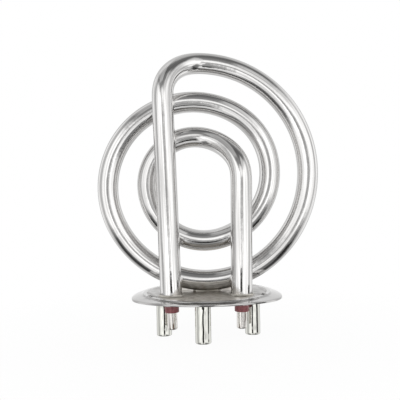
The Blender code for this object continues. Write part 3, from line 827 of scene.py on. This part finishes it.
# %% Light of the surroundings
ROOM = [(0, 0.45), (5, 0.45), (12, 0.6), (24, 0.45), (38, 0.31), (58, 0.22), (70, 0.15), (84, 0.19),
        (100, 0.6), (120, 0.75), (150, 0.72), (164, 0.95), (172, 1.0)]
LIGHTS = {   # clock angle, half its width, then nearest and furthest from the camera, and strength
    "wall on the right": (10, 32, 17, 72, 1.1),
    "wall on the left": (170, 33, 12, 70, 1.0),
    "lamp above the camera": (80, 36, 8, 29, 0.75),
    "window at the upper right": (57, 13, 32, 66, 0.5),
    "grey corner at the upper left": (112, 15, 50, 112, 0.35),
    "screen below the camera": (-92, 26, 42, 64, 0.75),
    "gap below the camera": (-84, 20, 6, 20, -0.16),
    "low wall on the right": (-44, 24, 3, 32, 0.75),
    "low wall on the left": (-136, 24, 4, 46, 0.8),
    "dark edge of the table": (-92, 54, 66, 106, -0.3),
    "far end of the right wall": (4, 40, 72, 125, 0.5),
    "far end of the left wall": (172, 36, 72, 125, 0.4),
}
DARKEST = 0.06
SOFT_NEAR, SOFT_FAR = 5, 7     # degrees over which an area's near and far edges fade

world = bpy.data.worlds.new("studio")
bpy.context.scene.world = world
world.use_nodes = True
tree = world.node_tree
background = tree.nodes["Background"]
towards = node(tree, "ShaderNodeTexCoord").outputs["Generated"]
axes = node(tree, "ShaderNodeSeparateXYZ", {}, {"Vector": towards})
angle = node(tree, "ShaderNodeMath", {"operation": "ARCCOSINE"}, {0: axes.outputs["Y"]})
share = node(tree, "ShaderNodeMapRange", {"From Min": math.pi, "From Max": 0},
             {"Value": angle.outputs["Value"]}).outputs["Result"]
room = ramp(tree, share, [(degrees / 180, level) for degrees, level in ROOM])
flat = node(tree, "ShaderNodeVectorMath", {"operation": "MULTIPLY"}, {0: towards})
flat.inputs[1].default_value = (1, 0, 1)
flat = node(tree, "ShaderNodeVectorMath", {"operation": "NORMALIZE"}, {0: flat.outputs["Vector"]})
for clock, half, near, far, strength in LIGHTS.values():
    clock, half = math.radians(clock), math.radians(half)
    beside = node(tree, "ShaderNodeVectorMath", {"operation": "DOT_PRODUCT"},
                  {0: flat.outputs["Vector"]})
    beside.inputs[1].default_value = (math.cos(clock), 0, math.sin(clock))
    inside = node(tree, "ShaderNodeMapRange",
                  {"From Min": math.cos(half * 1.3), "From Max": math.cos(half * 0.7),
                   "To Max": strength, "interpolation_type": "SMOOTHSTEP"},
                  {"Value": beside.outputs["Value"]})
    depth = ramp(tree, share, [((near - SOFT_NEAR) / 180, 0), ((near + SOFT_NEAR) / 180, 1),
                               ((far - SOFT_FAR) / 180, 1), ((far + SOFT_FAR) / 180, 0)])
    room = node(tree, "ShaderNodeMath", {"operation": "MULTIPLY_ADD"},
                {0: inside.outputs["Result"], 1: depth, 2: room}).outputs["Value"]
not_black = node(tree, "ShaderNodeMath", {"operation": "MAXIMUM"}, {0: room})
not_black.inputs[1].default_value = DARKEST
room = not_black.outputs["Value"]
rays = node(tree, "ShaderNodeLightPath")
through = node(tree, "ShaderNodeMath", {"operation": "MAXIMUM"},
               {0: rays.outputs["Is Camera Ray"], 1: rays.outputs["Is Transmission Ray"]})
seen = node(tree, "ShaderNodeMix", {"data_type": "FLOAT"},
            {"Factor": through.outputs["Value"], 2: room})
seen.inputs[3].default_value = 1.0
tree.links.new(seen.outputs[0], background.inputs["Strength"])
background.inputs["Color"].default_value = colour("#ffffff")
bpy.context.scene.view_settings.view_transform = "Standard"
print("the world has", len(tree.nodes), "nodes")

# %% [markdown]
# The floor is white paper that fades into the white round it, so that no edge of it shows. It keeps
# a trace of the element's own shadow. From below it is clear, and the metal doesn't mirror it.

# %% Floor
bpy.ops.mesh.primitive_circle_add(vertices=64, radius=0.12, fill_type="NGON",
                                  location=(0, 0, -STUD_LENGTH))
floor = bpy.context.object
floor.name = floor.data.name = "floor"
bpy.ops.object.transform_apply(location=True, rotation=True, scale=True)
floor_paper, tree, shader = new_material("white_paper", "#f4f4f2", 0.0, 0.9)
rays = node(tree, "ShaderNodeLightPath")
glow = node(tree, "ShaderNodeEmission", {"Strength": 1.0})
white_look = node(tree, "ShaderNodeMath", {"operation": "MULTIPLY"}, {0: rays.outputs["Is Camera Ray"]})
white_look.inputs[1].default_value = 0.96
lit = node(tree, "ShaderNodeMixShader", {}, {0: white_look.outputs["Value"], 1: shader.outputs["BSDF"],
                                            2: glow.outputs["Emission"]})
where = node(tree, "ShaderNodeTexCoord")
distance = node(tree, "ShaderNodeVectorMath", {"operation": "LENGTH"}, {0: where.outputs["Object"]})
fade = node(tree, "ShaderNodeMapRange", {"From Min": 35 * MM, "From Max": 110 * MM,
                                         "interpolation_type": "SMOOTHSTEP"},
            {"Value": distance.outputs["Value"]})
side = node(tree, "ShaderNodeNewGeometry")
open_to = fade.outputs["Result"]
for reason in (rays.outputs["Is Glossy Ray"], rays.outputs["Is Transmission Ray"],
               side.outputs["Backfacing"]):
    open_to = node(tree, "ShaderNodeMath", {"operation": "MAXIMUM"},
                   {0: open_to, 1: reason}).outputs["Value"]
clear = node(tree, "ShaderNodeBsdfTransparent")
paper = node(tree, "ShaderNodeMixShader", {}, {0: open_to, 1: lit.outputs["Shader"],
                                              2: clear.outputs["BSDF"]})
tree.links.new(paper.outputs["Shader"], tree.nodes["Material Output"].inputs["Surface"])
floor.data.materials.append(floor_paper)
print("floor at", round(-STUD_LENGTH / MM, 1), "mm")

# %% [markdown]
# Two big soft lamps, one at each side above the camera, give the rubber and the paper their gentle
# shading. The metal doesn't mirror them: it has the room's own walls for that.

# %% Two soft lamps
LAMPS = {"lamp_left": (-0.5, -0.6, 0.6), "lamp_right": (0.5, -0.6, 0.6)}
for name, place in LAMPS.items():
    bpy.ops.object.light_add(type="AREA", location=place)
    lamp = bpy.context.object
    lamp.name = name
    lamp.rotation_euler = Vector(place).to_track_quat("Z", "Y").to_euler()
    lamp.data.size, lamp.data.energy = 0.5, 0.9
    lamp.visible_camera = lamp.visible_glossy = False
print("lamps:", list(LAMPS))

# %% [markdown]
# Chrome is photographed with black cards, called flags, because dark edges draw its form. One stands
# low in front of the element, where the camera's stand would be, and the metal shows it as a thin
# dark line. A small one on the right shows mainly in the studs. The camera and the floor don't see
# them: they are there for reflections alone.

# %% Two flags
FLAGS = {"tall": ((0, -100 * MM, -20 * MM), (34 * MM, 34 * MM)),
         "low": ((50 * MM, -19 * MM, -12 * MM), (17 * MM, 20 * MM))}
card_black, tree, shader = new_material("black_card", "#2c2b2a", 0.0, 0.9)
for name, (place, (width, tall)) in FLAGS.items():
    bpy.ops.mesh.primitive_plane_add(size=1)
    flag = bpy.context.object
    flag.name = flag.data.name = f"{name}_flag"
    facing = Matrix.Rotation(math.atan2(place[0], -place[1]), 4, "Z")
    flag.data.transform(Matrix.Translation(place) @ facing @ Matrix.Rotation(math.pi / 2, 4, "X")
                        @ Matrix.Diagonal((width, tall, 1, 1)))
    flag.data.materials.append(card_black)
    flag.visible_camera = flag.visible_diffuse = flag.visible_shadow = False
print("flags:", list(FLAGS))
